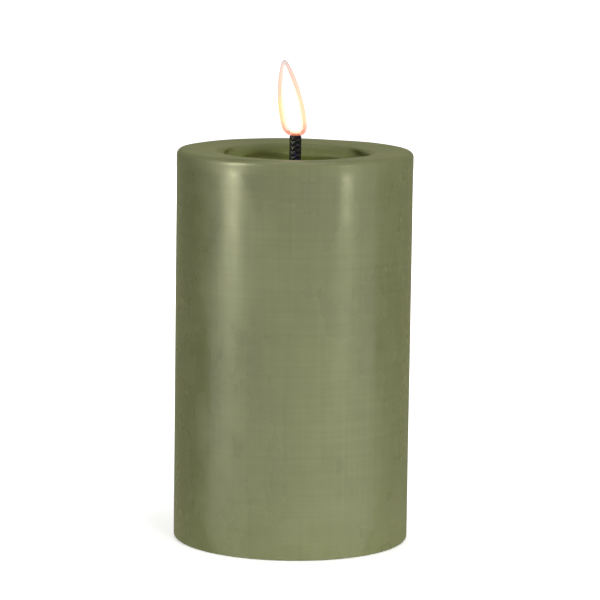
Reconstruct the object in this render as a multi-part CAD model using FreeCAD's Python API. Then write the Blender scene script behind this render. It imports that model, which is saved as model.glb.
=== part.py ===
import FreeCAD, Part

import math
import os

from FreeCAD import Matrix, Vector

# A flameless pillar candle with a flame-shaped lamp on a wick, two AA cells and a base module.
# Millimetres. The origin is the centre of the ring of wax that the candle stands on, and +Z is up.
# The battery door and the switch open on the underside, the flame leans towards -X.

# ---- wax body ----
BODY_R = 37.5
BODY_H = 125.0
CAVITY_R = 32.5
CEILING_Z = 112.0
REBATE_R = 34.0
RIM_FLAT = 3.0
RIM_DROP = 0.8
RIM_ROUND = 1.8
FOOT_ROUND = 1.0
DISH_R = 23.0
DISH_LIP_ROUND = 1.2
DISH_FLOOR_R = 20.5
DISH_FLOOR_Z = 117.0
INNER_ROUND = 2.6
WICK_HOLE_R = 3.5

# ---- wick and flame ----
STEM_R = 1.1
STEM_BORE_R = 0.85
SLIP = 0.05
SLEEVE_R = 1.9
COLLAR_R = 2.9
WINDOW_TOP_Z = 118.6
COLLAR_TOP_Z = 120.4
FLAME_Z = 129.4
FLAME_LEAN = 0.16
FLAME_WALL = 0.7
FLAME_FLOOR = 0.6
FLAME_TAPER_R = 2.2
FLAME_OUTLINE = [
    (1.95, 0.0), (3.15, 0.8), (3.85, 2.0), (4.2, 6.5), (4.1, 10.2), (3.3, 15.7), (2.2, 20.0), (1.15, 22.7), (0.0, 23.9),
]
LED_R = 1.5
LED_LEAD_R = 0.2
LED_LEAD_X = 0.42

# ---- sensor board under the wax ceiling ----
SENSOR_R = 8.5
SENSOR_Z = 104.9
SENSOR_T = 1.2
SENSOR_TOP = SENSOR_Z + SENSOR_T
WINDOW_FLANGE_Z = 109.5
SENSOR_SCREWS = [(-6.0, -2.0), (6.0, -2.0)]
SENSOR_SCREW_R = 0.75

# ---- base module ----
FLANGE_R = 33.8
FLANGE_Z = 1.0
FLANGE_TOP = 4.0
SKIRT_R = 32.2
SKIRT_BORE_R = 31.0
SKIRT_TOP = 23.0
LID_T = 1.4
TRAY_X = 29.0
TRAY_Y = 15.0
TRAY_CEILING = 17.9
TRAY_WALL = 1.2
TRAY_TOP = TRAY_CEILING + LID_T
MOUTH_X = 27.8
HOUSING_SCREWS = [(-22.5, -19.5), (22.5, -19.5), (-22.5, 19.5), (22.5, 19.5)]
HOUSING_SCREW_R = 1.0
SCREW_SEAT_Z = 3.0
BOSS_R = 2.4
BOSS_SPLIT_Z = 8.0

# ---- cells and contacts ----
CELL_R = 7.1
CELL_BODY = 49.2
NUB_R = 2.7
NUB_H = 1.2
CELL_Y = 7.5
CELL_Z = 10.4
NUB_TIP_X = 27.4
FLAT_END_X = CELL_BODY - NUB_TIP_X + NUB_H
PLATE_T = 0.4
PLATE_X = TRAY_X - PLATE_T
PLATE_EDGE_Y = 10.8
TAB_Y = 6.2
SPRING_WIRE = 0.8
SPRING_TURNS = 4.0
SPRING_R = 4.3
SPRING_TAPER = 1.2

# ---- battery door ----
DOOR_TOP = 2.6
DOOR_NEAR_X = -27.9
DOOR_X = 29.2
DOOR_Y = 16.0
DOOR_CORNER_R = 32.2
DOOR_GAP = 0.25
DOOR_RIB_Z = CELL_Z - CELL_R - 0.3
HINGE_X = -30.4
HINGE_Z = 2.0
BARREL_R = 1.0
BARREL_Y = 8.0
TRUNNION_R = 0.6
TRUNNION_Y = 10.0
THUMB_HALF_Y = 5.0

# ---- circuit board and switch ----
BOARD_Z = 9.6
BOARD_T = 1.6
BOARD_TOP = BOARD_Z + BOARD_T
BOARD_R = 30.6
BOARD_NEAR_Y = 17.6
BOARD_HALF_X = 18.5
BOARD_SCREWS = [(-15.5, 24.5), (15.5, 24.5)]
BOARD_SCREW_R = 0.9
SWITCH_Y = 24.0
SWITCH_TRAVEL = 4.0
SWITCH_CAN = (12.6, 4.6, 4.4)
SWITCH_PINS_X = [-4.5, -1.5, 1.5, 4.5]
KNOB_TIP_Z = 0.6
KNOB_REST_X = -SWITCH_TRAVEL / 2

# ---- wires ----
WIRE_R = 0.55
WIRE_PITCH = 1.4
HARNESS_Y = 27.5
HARNESS_TOP_Y = 5.0
OUTLET = (9.2, 2.6)
TIE_Z = 26.8

NODES = {}


# ---- small tools ----
def keep(node, *solids):
    """Files one or more solids under a node's name."""
    NODES[node] = solids[0] if len(solids) == 1 else Part.makeCompound(list(solids))


def rod(radius, z0, z1, x=0.0, y=0.0):
    return Part.makeCylinder(radius, z1 - z0, Vector(x, y, z0))


def rod_y(radius, y0, y1, x, z):
    return Part.makeCylinder(radius, y1 - y0, Vector(x, y0, z), Vector(0, 1, 0))


def rod_x(radius, x0, x1, y, z):
    return Part.makeCylinder(radius, x1 - x0, Vector(x0, y, z), Vector(1, 0, 0))


def tube(outer, inner, z0, z1, x=0.0, y=0.0):
    return rod(outer, z0, z1, x, y).cut(rod(inner, z0 - 1, z1 + 1, x, y))


def block(x0, x1, y0, y1, z0, z1):
    return Part.makeBox(x1 - x0, y1 - y0, z1 - z0, Vector(x0, y0, z0))


def centred(width, depth, z0, z1, x=0.0, y=0.0):
    return block(x - width / 2, x + width / 2, y - depth / 2, y + depth / 2, z0, z1)


def slot(length, width, z0, z1, x=0.0, y=0.0):
    """A block with round ends, its length along X."""
    half = (length - width) / 2
    ends = [rod(width / 2, z0, z1, x + side * half, y) for side in (-1, 1)]
    return centred(2 * half, width, z0, z1, x, y).fuse(ends).removeSplitter()


def turned(points):
    """A solid of revolution about Z from an outline of (radius, height) corners."""
    corners = [Vector(r, 0, z) for r, z in points]
    face = Part.Face(Part.makePolygon(corners + corners[:1]))
    return face.revolve(Vector(0, 0, 0), Vector(0, 0, 1), 360)


def rounded(shape, radius, *rings):
    """The shape with its circular edges at these (radius, height) places rounded off."""
    chosen = []
    for edge in shape.Edges:
        curve = edge.Curve
        if isinstance(curve, Part.Circle):
            for r, z in rings:
                if abs(curve.Radius - r) < 1e-3 and abs(curve.Center.z - z) < 1e-3:
                    chosen.append(edge)
    return shape.makeFillet(radius, chosen)


def wire(node, points):
    """A round wire along straight runs, with an arc at each inner point of the route."""
    edges = []
    bends = []
    start = points[0]
    for before, corner, after in zip(points, points[1:], points[2:]):
        back = (before - corner).normalize()
        ahead = (after - corner).normalize()
        half_turn = (math.pi - back.getAngle(ahead)) / 2
        reach = 0.45 * min(before.distanceToPoint(corner), after.distanceToPoint(corner))
        bend = reach / math.tan(half_turn)
        centre = corner + (back + ahead).normalize() * (bend / math.cos(half_turn))
        middle = centre + (corner - centre).normalize() * bend
        edges.append(Part.LineSegment(start, corner + back * reach).toShape())
        edges.append(Part.Arc(corner + back * reach, middle, corner + ahead * reach).toShape())
        start = corner + ahead * reach
        bends.append(bend)
    edges.append(Part.LineSegment(start, points[-1]).toShape())
    route = Part.Wire(edges)
    section = Part.Wire([Part.makeCircle(WIRE_R, points[0], points[1] - points[0])])
    solid = route.makePipeShell([section], True, True)
    expected = math.pi * WIRE_R**2 * route.Length
    print(f"{node}: length {route.Length:.1f}, least bend {min(bends):.1f}, "
          f"volume over section times length {solid.Volume / expected:.4f}")
    keep(node, solid)


# ---- wax body ----
def wax_shell():
    outline = [
        (REBATE_R, 0),
        (BODY_R, 0),
        (BODY_R, BODY_H),
        (BODY_R - RIM_FLAT, BODY_H),
        (DISH_R, BODY_H - RIM_DROP),
        (DISH_FLOOR_R, DISH_FLOOR_Z),
        (WICK_HOLE_R, DISH_FLOOR_Z),
        (WICK_HOLE_R, CEILING_Z),
        (CAVITY_R, CEILING_Z),
        (CAVITY_R, FLANGE_TOP),
        (REBATE_R, FLANGE_TOP),
    ]
    body = turned(outline)
    body = rounded(body, RIM_ROUND, (BODY_R, BODY_H))
    body = rounded(body, DISH_LIP_ROUND, (DISH_R, BODY_H - RIM_DROP))
    body = rounded(body, INNER_ROUND, (DISH_FLOOR_R, DISH_FLOOR_Z), (CAVITY_R, CEILING_Z))
    return rounded(body, FOOT_ROUND, (BODY_R, 0))


def glue_beads():
    """Four beads of hot glue in the corner between the base module's lid and the wax wall."""
    size = 2.2
    span_deg = 26
    first_deg = 32
    corner = Vector(CAVITY_R, 0, SKIRT_TOP + LID_T)
    inner = corner - Vector(size, 0, 0)
    upper = corner + Vector(0, 0, size)
    hollow = corner + Vector(-size * 0.45, 0, size * 0.45)
    outline = [
        Part.LineSegment(corner, inner).toShape(),
        Part.Arc(inner, hollow, upper).toShape(),
        Part.LineSegment(upper, corner).toShape(),
    ]
    bead = Part.Face(Part.Wire(outline)).revolve(Vector(0, 0, 0), Vector(0, 0, 1), span_deg)
    beads = []
    for quarter in range(4):
        turned_bead = bead.copy()
        turned_bead.rotate(Vector(0, 0, 0), Vector(0, 0, 1), first_deg + 90 * quarter)
        beads.append(turned_bead)
    return beads


# ---- flame ----
def flame_form(inset, floor):
    """
    A leaning drop, smaller than the flame all round by inset, cut level at floor above its foot.
    The wall that this leaves thins out where the flame narrows below FLAME_TAPER_R.
    """
    height = FLAME_OUTLINE[-1][1]
    shrink = (height - 1.5 * inset) / height
    points = []
    for r, h in FLAME_OUTLINE:
        points.append(Vector(r - inset * min(r / FLAME_TAPER_R, 1), 0, FLAME_Z + h * shrink))
    curve = Part.BSplineCurve()
    curve.interpolate(points)
    top = curve.EndPoint
    foot = curve.StartPoint
    middle = Vector(0, 0, foot.z)
    side = [
        curve.toShape(),
        Part.LineSegment(top, middle).toShape(),
        Part.LineSegment(middle, foot).toShape(),
    ]
    drop = Part.Face(Part.Wire(side)).revolve(Vector(0, 0, 0), Vector(0, 0, 1), 360)
    lean = Matrix()
    lean.A13 = -FLAME_LEAN
    lean.A14 = FLAME_LEAN * FLAME_Z
    drop = drop.transformGeometry(lean)
    if floor:
        drop = drop.cut(rod(BODY_R, FLAME_Z - 1, FLAME_Z + floor))
    return drop


def lamp(grow, foot_z):
    """The lamp's domed body, grown by grow, from foot_z up."""
    body_top = FLAME_Z + 3.6
    dome = Part.makeSphere(LED_R + grow, Vector(0, 0, body_top))
    return rod(LED_R + grow, foot_z, body_top).fuse(dome).removeSplitter()


def flame_parts():
    """Shell, light guide, lamp and the lamp's two leads down the stem."""
    seat_z = FLAME_Z + FLAME_FLOOR
    foot_h = 0.7
    neck = rod(STEM_R + SLIP, FLAME_Z - 1, seat_z)
    keep("flame_shell", flame_form(0, 0).cut([flame_form(FLAME_WALL, FLAME_FLOOR), neck]))
    core = flame_form(FLAME_WALL + 0.15, FLAME_FLOOR + foot_h + 0.3)
    keep("flame_core", core.cut(lamp(0.3, FLAME_Z)))
    keep("flame_led", lamp(0, seat_z).fuse(rod(LED_R + 0.25, seat_z, seat_z + foot_h)).removeSplitter())
    keep("led_leads", *[rod(LED_LEAD_R, SENSOR_Z - 0.8, seat_z, side * LED_LEAD_X) for side in (-1, 1)])


# ---- wick ----
def wick_parts():
    """A metal stem from the sensor board to the flame, in a braided sleeve over a collar."""
    stem_foot_z = SENSOR_Z - 0.4
    keep("wick_stem", tube(STEM_R, STEM_BORE_R, stem_foot_z, FLAME_Z + FLAME_FLOOR))
    keep("wick_sleeve", tube(SLEEVE_R, STEM_R + SLIP, COLLAR_TOP_Z, FLAME_Z))
    collar = tube(COLLAR_R, STEM_R + SLIP, WINDOW_TOP_Z, COLLAR_TOP_Z)
    keep("wick_collar", rounded(collar, 0.5, (COLLAR_R, COLLAR_TOP_Z)))


def ir_window():
    """Dark red bush through the wax. Its flange sits under the ceiling and carries the sensor board."""
    shank_r = WICK_HOLE_R - 0.1
    post_r = 1.8
    shank = rod(shank_r, WINDOW_FLANGE_Z, WINDOW_TOP_Z)
    shank = rounded(shank, 0.6, (shank_r, WINDOW_TOP_Z))
    flange = rod(SENSOR_R, WINDOW_FLANGE_Z, CEILING_Z)
    posts = [rod(post_r, SENSOR_TOP, WINDOW_FLANGE_Z, x, y) for x, y in SENSOR_SCREWS]
    body = shank.fuse([flange] + posts).removeSplitter()
    screw_holes = [
        rod(SENSOR_SCREW_R + SLIP, SENSOR_TOP - 1, WINDOW_FLANGE_Z + 1, x, y) for x, y in SENSOR_SCREWS
    ]
    return body.cut([rod(STEM_R + SLIP, SENSOR_Z, FLAME_Z)] + screw_holes)


def sensor_parts():
    """The round board that the wick stands on, its screws and its remote-control receiver."""
    holes = [rod(SENSOR_SCREW_R + 0.15, SENSOR_Z - 1, SENSOR_TOP + 1, x, y) for x, y in SENSOR_SCREWS]
    holes.append(rod(STEM_R + SLIP, SENSOR_Z - 1, SENSOR_TOP + 1))
    keep("sensor_board", rod(SENSOR_R, SENSOR_Z, SENSOR_TOP).cut(holes))
    length = WINDOW_FLANGE_Z - 0.3 - SENSOR_Z
    screws = [pan_screw(x, y, SENSOR_Z, 1.5, 1.0, SENSOR_SCREW_R, length, 1) for x, y in SENSOR_SCREWS]
    keep("sensor_screws", *screws)
    receiver_y = -5.0
    package_top = SENSOR_TOP + 1.8
    package = centred(4.0, 3.0, SENSOR_TOP, package_top, 0, receiver_y)
    lens = Part.makeSphere(1.2, Vector(0, receiver_y, package_top))
    keep("ir_receiver", package.fuse(lens).removeSplitter())


# ---- base module: housings ----
def tray_space(grow, z0, z1):
    """The room round the cells: a box whose corners follow the skirt."""
    box = centred(2 * (TRAY_X + grow), 2 * (TRAY_Y + grow), z0, z1)
    return box.common(rod(SKIRT_BORE_R + grow, z0, z1))


def door_outline(gap, z0, z1):
    """The door's plate with its hinge tongue, grown by gap."""
    plate = block(DOOR_NEAR_X - gap * 1.6, DOOR_X + gap, -DOOR_Y - gap, DOOR_Y + gap, z0, z1)
    plate = plate.common(rod(DOOR_CORNER_R + gap, z0, z1))
    tongue = block(HINGE_X, DOOR_NEAR_X + 1, -BARREL_Y - gap, BARREL_Y + gap, z0, z1)
    return plate.fuse(tongue).removeSplitter()


def contact_fingers():
    """Fingers that hang from the tray's ceiling and hold the contact plates against the end walls."""
    gap = 0.1
    thick = 0.6
    width = 1.2
    fingers = []
    for end in (-1, 1):
        x0, x1 = sorted((end * (PLATE_X - gap), end * (PLATE_X - gap - thick)))
        for side in (-1, 1):
            y0, y1 = sorted((side * (PLATE_EDGE_Y - width), side * PLATE_EDGE_Y))
            fingers.append(block(x0, x1, y0, y1, CELL_Z + 2.6, TRAY_CEILING))
    return fingers


def hinge_pocket():
    """Room for the door's barrel to turn in, and the two blind sockets of its trunnions."""
    half_y = BARREL_Y + DOOR_GAP
    room = block(HINGE_X - 1.4, DOOR_NEAR_X + 0.5, -half_y, half_y, 0, HINGE_Z + 1.3)
    socket_y = TRUNNION_Y + 0.1
    return room.fuse(rod_y(TRUNNION_R + SLIP, -socket_y, socket_y, HINGE_X, HINGE_Z))


def lower_housing():
    """Base plate, skirt and battery tray in one moulding, open below under the door."""
    inside = rod(SKIRT_R, FLANGE_Z, SKIRT_TOP)
    flange = rod(FLANGE_R, FLANGE_Z, FLANGE_TOP)
    skirt = tube(SKIRT_R, SKIRT_BORE_R, FLANGE_TOP, SKIRT_TOP)
    tray = tray_space(TRAY_WALL, FLANGE_TOP, TRAY_TOP)
    bosses = [rod(BOSS_R, FLANGE_TOP, BOSS_SPLIT_Z, x, y).common(inside) for x, y in HOUSING_SCREWS]
    bosses += [rod(2.2, FLANGE_TOP, BOARD_Z, x, y).common(inside) for x, y in BOARD_SCREWS]
    body = flange.fuse([skirt, tray] + bosses).removeSplitter()

    mouth = centred(2 * MOUTH_X, 2 * TRAY_Y, 0, FLANGE_TOP + 1).common(rod(SKIRT_BORE_R, 0, FLANGE_TOP + 1))
    cut = [tray_space(0, FLANGE_TOP, TRAY_CEILING), mouth]
    cut.append(door_outline(DOOR_GAP, 0, DOOR_TOP + 0.15))
    cut.append(hinge_pocket())
    cut.append(Part.makeSphere(6.0, Vector(DOOR_X + 0.6, 0, FLANGE_Z - 4.9)))
    for x, y in HOUSING_SCREWS:
        cut.append(rod(HOUSING_SCREW_R + 0.2, 0, BOSS_SPLIT_Z + 1, x, y))
        cut.append(rod(HOUSING_SCREW_R + 1.3, 0, SCREW_SEAT_Z, x, y))
    cut += [rod(BOARD_SCREW_R + SLIP, FLANGE_TOP, BOARD_Z + 1, x, y) for x, y in BOARD_SCREWS]
    cut.append(slot(SWITCH_TRAVEL + 5.0, 3.2, 0, FLANGE_TOP + 1, 0, SWITCH_Y))
    cut.append(slot(SWITCH_TRAVEL + 12.0, 8.0, 0, FLANGE_Z + 1.2, 0, SWITCH_Y))
    for side in (-1, 1):
        cut.append(centred(0.7, 3.4, TRAY_CEILING - 1, SKIRT_TOP, TRAY_X - 0.25, side * TAB_Y))
    divider = centred(46.0, 1.2, TRAY_CEILING - 2.4, TRAY_CEILING)
    return body.cut(cut).fuse(contact_fingers() + [divider]).removeSplitter()


def upper_housing():
    """Lid of the base module, with screw bosses below and the wires' outlet above."""
    lid_top = SKIRT_TOP + LID_T
    collar_top = lid_top + 1.6
    lid = rod(SKIRT_R, SKIRT_TOP, lid_top)
    inside = rod(SKIRT_BORE_R - 0.1, BOSS_SPLIT_Z, SKIRT_TOP)
    bosses = [rod(BOSS_R, BOSS_SPLIT_Z, SKIRT_TOP, x, y).common(inside) for x, y in HOUSING_SCREWS]
    collar = slot(OUTLET[0] + 2.4, OUTLET[1] + 2.4, SKIRT_TOP, collar_top, 0, HARNESS_Y)
    collar = collar.common(rod(SKIRT_R - 0.6, SKIRT_TOP, collar_top))
    ribs = [centred(1.2, 44.0, lid_top, collar_top, x, -2) for x in (-14, 14)]
    body = lid.fuse(bosses + [collar] + ribs).removeSplitter()
    bore = HOUSING_SCREW_R + SLIP
    holes = [rod(bore, BOSS_SPLIT_Z - 1, BOSS_SPLIT_Z + 9, x, y) for x, y in HOUSING_SCREWS]
    outlet = slot(OUTLET[0], OUTLET[1], SKIRT_TOP - 1, collar_top + 1, 0, HARNESS_Y)
    return body.cut(holes + [outlet])


def pan_screw(x, y, seat_z, head_r, head_h, shank_r, length, up):
    """A cross-head screw whose head bears on seat_z. up is 1 where it is driven in from below, or -1."""
    head = rounded(rod(head_r, 0, head_h), head_h * 0.45, (head_r, 0))
    shank = rod(shank_r, head_h, head_h + length)
    arm = head_r * 1.15
    thin = head_r * 0.25
    cross = centred(arm, thin, -0.1, head_h * 0.55).fuse(centred(thin, arm, -0.1, head_h * 0.55))
    screw = head.fuse(shank).cut(cross).removeSplitter()
    if up < 0:
        screw.rotate(Vector(0, 0, 0), Vector(1, 0, 0), 180)
    screw.translate(Vector(x, y, seat_z - up * head_h))
    return screw


# ---- battery door ----
def battery_door():
    """Hinged hatch with a barrel and trunnions, ribs between the cells and a sprung thumb tab."""
    plate = door_outline(0, FLANGE_Z, DOOR_TOP)
    barrel = rod_y(BARREL_R, -BARREL_Y, BARREL_Y, HINGE_X, HINGE_Z)
    trunnions = rod_y(TRUNNION_R, -TRUNNION_Y, TRUNNION_Y, HINGE_X, HINGE_Z)
    cross_ribs = [centred(1.2, 27.0, DOOR_TOP, DOOR_RIB_Z, x) for x in (-14.0, 14.0)]
    long_rib = block(-22.0, 15.0, -0.5, 0.5, DOOR_TOP, DOOR_TOP + 1.8)
    nose_y = THUMB_HALF_Y - 0.6
    nose = block(MOUTH_X - 0.9, MOUTH_X - 0.12, -nose_y, nose_y, DOOR_TOP, FLANGE_TOP + 0.9)
    grips = []
    for step in range(3):
        x = DOOR_X - 1.6 - 1.5 * step
        grips.append(block(x, x + 0.7, -4.0, 4.0, FLANGE_Z - 0.35, FLANGE_Z))
    door = plate.fuse([barrel, trunnions, long_rib, nose] + cross_ribs + grips).removeSplitter()
    slit = 0.7
    for side in (-1, 1):
        y0, y1 = sorted((side * THUMB_HALF_Y, side * (THUMB_HALF_Y + slit)))
        door = door.cut(block(17.0, DOOR_X + 1, y0, y1, 0, FLANGE_TOP + 2))
    return door


# ---- cells and contacts ----
def cell(end):
    """A cell of size AA along X. end is the side, -1 or 1, that its raised terminal points to."""
    body_end = NUB_TIP_X - NUB_H
    body = rod_x(CELL_R, body_end - CELL_BODY, body_end, CELL_Y, CELL_Z)
    body = body.makeFillet(0.5, [e for e in body.Edges if isinstance(e.Curve, Part.Circle)])
    nub = rod_x(NUB_R, body_end - 1, NUB_TIP_X, CELL_Y, CELL_Z)
    whole = body.fuse(nub).removeSplitter()
    if end < 0:
        whole.rotate(Vector(0, 0, 0), Vector(0, 0, 1), 180)
    return whole


def spring(end):
    """A tapered coil from the contact plate at this end to the flat face of a cell."""
    height = PLATE_X - FLAT_END_X - SPRING_WIRE
    steps = 64
    points = []
    for step in range(steps + 1):
        share = step / steps
        turn = 2 * math.pi * SPRING_TURNS * share
        radius = SPRING_R - SPRING_TAPER * share
        points.append(Vector(radius * math.cos(turn), radius * math.sin(turn), height * share))
    curve = Part.BSplineCurve()
    curve.interpolate(points)
    section = Part.makeCircle(SPRING_WIRE / 2, points[0], curve.tangent(curve.FirstParameter)[0])
    coil = Part.Wire([curve.toShape()]).makePipeShell([Part.Wire([section])], True, True)
    coil.translate(Vector(0, 0, SPRING_WIRE / 2))
    coil.rotate(Vector(0, 0, 0), Vector(0, 1, 0), -90)
    coil.translate(Vector(PLATE_X, -CELL_Y, CELL_Z))
    if end < 0:
        coil.rotate(Vector(0, 0, 0), Vector(0, 0, 1), 180)
    return coil


def contact_plate(end, y0, y1, button_y=None, tab_y=None):
    """A stamped strip against an end wall, with a raised button for a cell and a soldering tab."""
    x0, x1 = sorted((end * PLATE_X, end * TRAY_X))
    top = CELL_Z + 6.0
    plate = block(x0, x1, y0, y1, FLANGE_TOP + 1, top)
    if button_y is not None:
        seat = Vector(end * PLATE_X, button_y, CELL_Z)
        button = Part.makeCone(2.4, 1.5, PLATE_X - NUB_TIP_X, seat, Vector(-end, 0, 0))
        plate = plate.fuse(button)
    if tab_y is not None:
        plate = plate.fuse(block(x0, x1, tab_y - 1.5, tab_y + 1.5, top, SKIRT_TOP - 1.6))
    return plate.removeSplitter()


def battery_parts():
    """Two cells side by side and head to tail, each between a button and a spring."""
    half_gap = 1.2
    keep("battery_1", cell(1))
    keep("battery_2", cell(-1))
    keep("spring_1", spring(-1))
    keep("spring_2", spring(1))
    keep("contact_bridge", contact_plate(-1, -PLATE_EDGE_Y, PLATE_EDGE_Y, button_y=-CELL_Y))
    keep("contact_positive", contact_plate(1, half_gap, PLATE_EDGE_Y, button_y=CELL_Y, tab_y=TAB_Y))
    keep("contact_negative", contact_plate(1, -PLATE_EDGE_Y, -half_gap, tab_y=-TAB_Y))


# ---- circuit board and switch ----
def circuit_board():
    sheet = block(-BOARD_HALF_X, BOARD_HALF_X, BOARD_NEAR_Y, BOARD_R, BOARD_Z, BOARD_TOP)
    sheet = sheet.common(rod(BOARD_R, BOARD_Z, BOARD_TOP))
    holes = [rod(BOARD_SCREW_R + 0.2, BOARD_Z - 1, BOARD_TOP + 1, x, y) for x, y in BOARD_SCREWS]
    holes += [rod(0.5, BOARD_Z - 1, BOARD_TOP + 1, x, SWITCH_Y) for x in SWITCH_PINS_X]
    return sheet.cut(holes)


def controller_chip(x, y):
    """An eight-legged flat package."""
    package = centred(4.9, 3.9, BOARD_TOP + 0.15, BOARD_TOP + 1.6, x, y)
    legs = []
    for column in range(4):
        leg_x = x + 1.27 * (column - 1.5)
        for side in (-1, 1):
            legs.append(centred(0.4, 0.9, BOARD_TOP, BOARD_TOP + 0.6, leg_x, y + side * 2.4))
    return package.fuse(legs)


def timer_crystal(x, y):
    """A small can lying on the board along X, with two bent legs at its near end."""
    height = BOARD_TOP + 1.6
    lead_r = 0.22
    can = rod_x(1.5, x, x + 8.0, y, height)
    can = can.makeFillet(0.4, [e for e in can.Edges if isinstance(e.Curve, Part.Circle)])
    for side in (-1, 1):
        leg_y = y + side * 0.6
        leg = rod_x(lead_r, x - 1.4, x + 0.2, leg_y, height)
        foot = rod(lead_r, BOARD_TOP, height + 0.15, x - 1.4, leg_y)
        can = can.fuse([leg, foot])
    return can.removeSplitter()


def board_parts():
    keep("circuit_board", circuit_board())
    screws = [pan_screw(x, y, BOARD_TOP, 1.9, 1.3, BOARD_SCREW_R, 5.5, -1) for x, y in BOARD_SCREWS]
    keep("board_screws", *screws)
    keep("controller_chip", controller_chip(-10.0, 20.4))
    keep("timer_crystal", timer_crystal(4.0, 19.6))
    drum_r = 2.5
    drum_top = BOARD_TOP + 6.8
    keep("capacitor", rounded(rod(drum_r, BOARD_TOP + 0.2, drum_top, 9.6, 25.6), 0.5, (drum_r, drum_top)))
    places = [(x, y) for x in (-5.6, -3.1, -0.6) for y in (18.9, 21.0)]
    keep("chip_resistors", *[centred(2.0, 1.25, BOARD_TOP, BOARD_TOP + 0.55, x, y) for x, y in places])


def switch_parts():
    """A three-place slide switch under the board: can, pins, their solder, and the knob that moves."""
    length, width, height = SWITCH_CAN
    bottom = BOARD_Z - height
    can = centred(length, width, bottom, BOARD_Z, 0, SWITCH_Y)
    chamber = centred(SWITCH_TRAVEL + 5.2, 3.4, bottom + 0.8, bottom + 2.3, 0, SWITCH_Y)
    window = centred(SWITCH_TRAVEL + 3.0, 2.6, bottom - 1, bottom + 1, 0, SWITCH_Y)
    keep("switch_body", can.cut([chamber, window]))

    pin_r = 0.35
    keep("switch_pins", *[rod(pin_r, BOARD_Z, BOARD_TOP + 1.2, x, SWITCH_Y) for x in SWITCH_PINS_X])
    joints = []
    for x in SWITCH_PINS_X:
        cone = Part.makeCone(1.0, 0.5, 0.8, Vector(x, SWITCH_Y, BOARD_TOP))
        joints.append(cone.cut(rod(pin_r, BOARD_Z, BOARD_TOP + 2, x, SWITCH_Y)))
    keep("solder_joints", *joints)

    slider = centred(5.0, 3.2, bottom + 0.9, bottom + 2.2, KNOB_REST_X, SWITCH_Y)
    neck = centred(2.6, 2.2, KNOB_TIP_Z + 1, bottom + 1.5, KNOB_REST_X, SWITCH_Y)
    grip = centred(3.0, 2.6, KNOB_TIP_Z, FLANGE_TOP - 0.4, KNOB_REST_X, SWITCH_Y)
    groove = 0.35
    grooves = [
        centred(groove, 4.0, KNOB_TIP_Z - 1, KNOB_TIP_Z + groove, KNOB_REST_X + offset, SWITCH_Y)
        for offset in (-0.8, 0.0, 0.8)
    ]
    keep("switch_knob", slider.fuse([neck, grip]).removeSplitter().cut(grooves))


# ---- wires ----
def harness_route(place):
    """The route of one wire of the five, from the circuit board up to the sensor board."""
    x = (place - 2) * WIRE_PITCH
    sag = 1.5 * math.sin(place * 1.7)
    return [
        Vector(x, HARNESS_Y, BOARD_TOP),
        Vector(x, HARNESS_Y, 32.0),
        Vector(x * 1.08, 26.2, 53.0 + sag),
        Vector(x * 1.2, 19.5, 71.5 + sag),
        Vector(x * 1.25, 10.5, 87.0 - sag),
        Vector(x, HARNESS_TOP_Y, 96.0),
        Vector(x, HARNESS_TOP_Y, SENSOR_Z),
    ]


def wire_tie():
    """A strap round the flat bundle of five, with its square head behind."""
    bundle = 5 * WIRE_PITCH + 0.2
    thick = 1.0
    band = centred(bundle + 2 * thick, 1.3 + 2 * thick, TIE_Z, TIE_Z + 2.4, 0, HARNESS_Y)
    band = band.cut(centred(bundle, 1.3, TIE_Z - 1, TIE_Z + 4, 0, HARNESS_Y))
    head = centred(3.2, 2.4, TIE_Z - 0.6, TIE_Z + 3.0, thick, HARNESS_Y - 2.7)
    return band.fuse(head).removeSplitter()


def wire_parts():
    for place, colour in enumerate(["red", "black", "yellow", "white", "blue"]):
        wire(f"wire_{colour}", harness_route(place))
    keep("wire_tie", wire_tie())

    over = TRAY_TOP + 1.6
    plus = [
        Vector(PLATE_X, TAB_Y, over),
        Vector(24.6, TAB_Y, over),
        Vector(18.8, 11.6, over),
        Vector(16.4, 19.6, over),
        Vector(16.4, 20.0, BOARD_TOP),
    ]
    minus = [
        Vector(PLATE_X, -TAB_Y, over),
        Vector(22.6, -TAB_Y, over),
        Vector(16.6, 0.6, over),
        Vector(13.9, 9.4, over),
        Vector(13.4, 19.6, over),
        Vector(13.4, 20.0, BOARD_TOP),
    ]
    wire("wire_battery_red", plus)
    wire("wire_battery_black", minus)


def main():
    keep("wax_shell", wax_shell())
    keep("glue_beads", *glue_beads())
    flame_parts()
    wick_parts()
    keep("ir_window", ir_window())
    sensor_parts()
    keep("lower_housing", lower_housing())
    keep("upper_housing", upper_housing())
    screws = [pan_screw(x, y, SCREW_SEAT_Z, 2.0, 1.5, HOUSING_SCREW_R, 11.0, 1) for x, y in HOUSING_SCREWS]
    keep("housing_screws", *screws)
    keep("battery_door", battery_door())
    battery_parts()
    board_parts()
    switch_parts()
    wire_parts()
    os.makedirs("parts", exist_ok=True)
    for node, shape in NODES.items():
        print(f"{node:20s} solids {len(shape.Solids)} valid {shape.isValid()} volume {shape.Volume:10.2f}")
        shape.exportStep(f"parts/{node}.step")


main()
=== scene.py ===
# %% [markdown]
# # A flameless wax candle, finished in Blender
# The real object is a hollow pillar of coloured wax with a lamp shaped like a flame on a black
# wick, and a plastic base module underneath with two cells, a switch and a door. The imported model
# already holds every piece at its real size. Here each one gets its finish, and some are modelled
# again: the wax, for its melted dish, the wick, for its braid, the flame, which glows through its
# wall, and the two springs, as tapered coils.

# %% Load the frame
import math

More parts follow.
